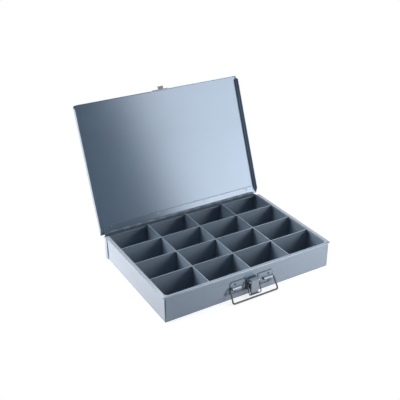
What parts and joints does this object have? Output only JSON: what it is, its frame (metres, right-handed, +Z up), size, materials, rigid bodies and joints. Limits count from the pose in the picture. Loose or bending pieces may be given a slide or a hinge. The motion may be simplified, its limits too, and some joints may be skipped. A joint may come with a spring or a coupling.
{
  "type": "compartment storage box",
  "caption": "Shallow blue-grey steel storage box, lid open on a full-length hinge, with a grid of small compartments, draw latch and wire handle.",
  "frame": {"origin": "centre of the base underside", "axes": "+X to the right along the front, +Y from the front to the hinge, +Z up; the front with the latch faces -Y"},
  "size_m": [0.3462, 0.3417, 0.2795],
  "materials": {
    "enamel": "satin",
    "fittings": "satin",
    "wire": "satin"
  },
  "bodies": {
    "case": {"case_shell": "enamel", "back_panel": "enamel", "row_divider_1": "enamel", "row_divider_2": "enamel", "row_divider_3": "enamel", "column_divider_1": "enamel", "column_divider_2": "enamel", "column_divider_3": "enamel", "hinge_leaf_case": "enamel", "hinge_pin": "wire", "handle_bracket_left": "fittings", "handle_bracket_right": "fittings", "latch_base": "fittings", "latch_pin": "wire", "front_rivets": "fittings"},
    "lid": {"lid_panel": "enamel", "hinge_leaf_lid": "enamel", "lid_catch": "enamel"},
    "lever": {"latch_lever": "fittings"},
    "loop": {"latch_loop": "wire"},
    "handle": {"wire_handle": "wire"}
  },
  "joints": [
    {"name": "lid_hinge", "type": "hinge", "parent": "case", "child": "lid", "pos_m": [0, 0.1198, 0.0477], "axis": [1, 0, 0], "range_deg": [0, 111]},
    {"name": "lever_pivot", "type": "hinge", "parent": "case", "child": "lever", "pos_m": [0, -0.125, 0.0285], "axis": [-1, 0, 0], "range_deg": [0, 100]},
    {"name": "loop_pivot", "type": "hinge", "parent": "lever", "child": "loop", "pos_m": [0, -0.124, 0.0235], "axis": [-1, 0, 0], "range_deg": [0, 85]},
    {"name": "handle_pivot", "type": "hinge", "parent": "case", "child": "handle", "pos_m": [0, -0.1205, 0.0225], "axis": [-1, 0, 0], "range_deg": [0, 60]}
  ]
}
